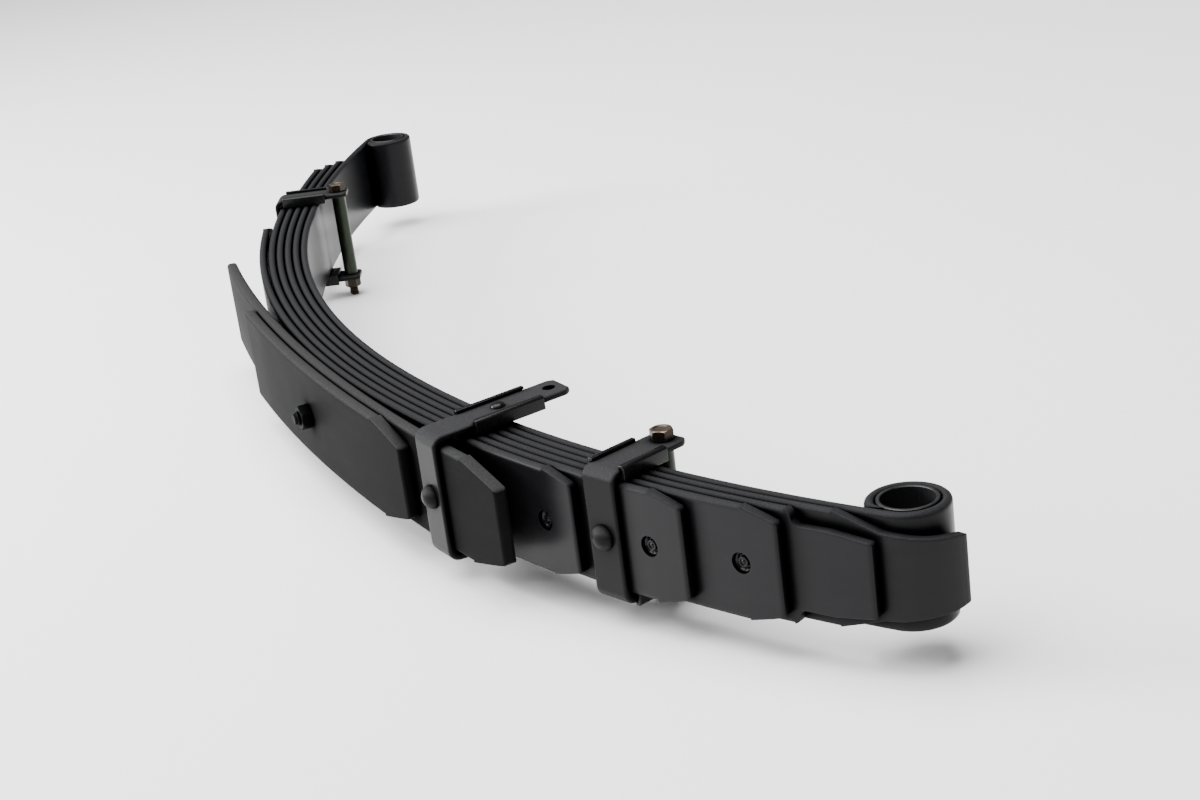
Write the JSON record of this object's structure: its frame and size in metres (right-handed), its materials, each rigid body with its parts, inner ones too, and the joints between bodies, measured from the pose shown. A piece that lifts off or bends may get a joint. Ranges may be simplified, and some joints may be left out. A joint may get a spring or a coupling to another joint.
{
  "type": "leaf spring",
  "caption": "Arched multi-leaf suspension spring with a curled eye at each end, a loose wrapper round the front eye, thick helper leaves under the arch and U clips round the pack.",
  "frame": {"origin": "middle of the bounding box in plan, on the plane that the lowest points touch", "axes": "+X along the chord between the eyes, towards the front eye with the wrapper; +Y from the convex side to the concave side; +Z along the leaf width, so the spring lies on its side"},
  "size_m": [1.2212, 0.2764, 0.1079],
  "materials": {
    "leaf_paint": "satin black paint, greyer on the leaf edges",
    "helper_paint": "satin charcoal paint",
    "clip_paint": "semi-gloss black paint",
    "fastener_paint": "semi-gloss black paint",
    "black_plastic": "moulded black plastic, slightly shiny",
    "bush_steel": "dark phosphated steel",
    "yellow_zinc": "yellow chromated zinc",
    "olive_zinc": "olive chromated zinc"
  },
  "bodies": {
    "front": {"leaf_1_main": "leaf_paint", "leaf_2_wrapper": "leaf_paint", "leaf_3": "leaf_paint", "leaf_4": "leaf_paint", "leaf_5": "leaf_paint", "leaf_6": "leaf_paint", "leaf_4_front_button": "black_plastic", "leaf_5_front_button": "black_plastic", "leaf_6_front_button": "black_plastic", "front_eye_bush": "bush_steel", "front_clip_strap": "clip_paint", "front_clip_upper_liner": "black_plastic", "front_clip_lower_liner": "black_plastic", "front_clip_rivet": "clip_paint", "front_clip_bolt": "yellow_zinc", "front_clip_nut": "yellow_zinc", "front_clip_spacer": "olive_zinc"},
    "rear": {"leaf_4_rear_button": "black_plastic", "leaf_6_rear_button": "black_plastic", "rear_eye_bush": "bush_steel", "rear_clip_strap": "clip_paint", "rear_clip_upper_liner": "black_plastic", "rear_clip_lower_liner": "black_plastic", "rear_clip_rivet": "clip_paint", "rear_clip_bolt": "yellow_zinc", "rear_clip_nut": "yellow_zinc", "rear_clip_spacer": "olive_zinc"},
    "centre": {"helper_leaf_1": "helper_paint", "helper_leaf_2": "helper_paint", "centre_bolt": "fastener_paint", "centre_nut": "fastener_paint", "middle_clip_strap": "clip_paint", "middle_clip_upper_liner": "black_plastic", "middle_clip_lower_liner": "black_plastic", "middle_clip_rivet": "clip_paint"}
  },
  "joints": [
    {"name": "flex", "type": "hinge", "parent": "front", "child": "rear", "pos_m": [0.11805, -0.08871, 0.0589], "axis": [0, 0, 1], "range_deg": [0, 5], "stiffness_Nm_per_rad": 4000, "deforming": ["leaf_1_main", "leaf_2_wrapper", "leaf_3", "leaf_4", "leaf_5", "leaf_6"]},
    {"name": "seat_turn", "type": "hinge", "parent": "front", "child": "centre", "pos_m": [0.11805, -0.08871, 0.0589], "axis": [0, 0, 1], "range_deg": [0, 2.5]}
  ],
  "couplings": [
    {"joint": "seat_turn", "follows": "flex", "ratio": 0.5}
  ]
}
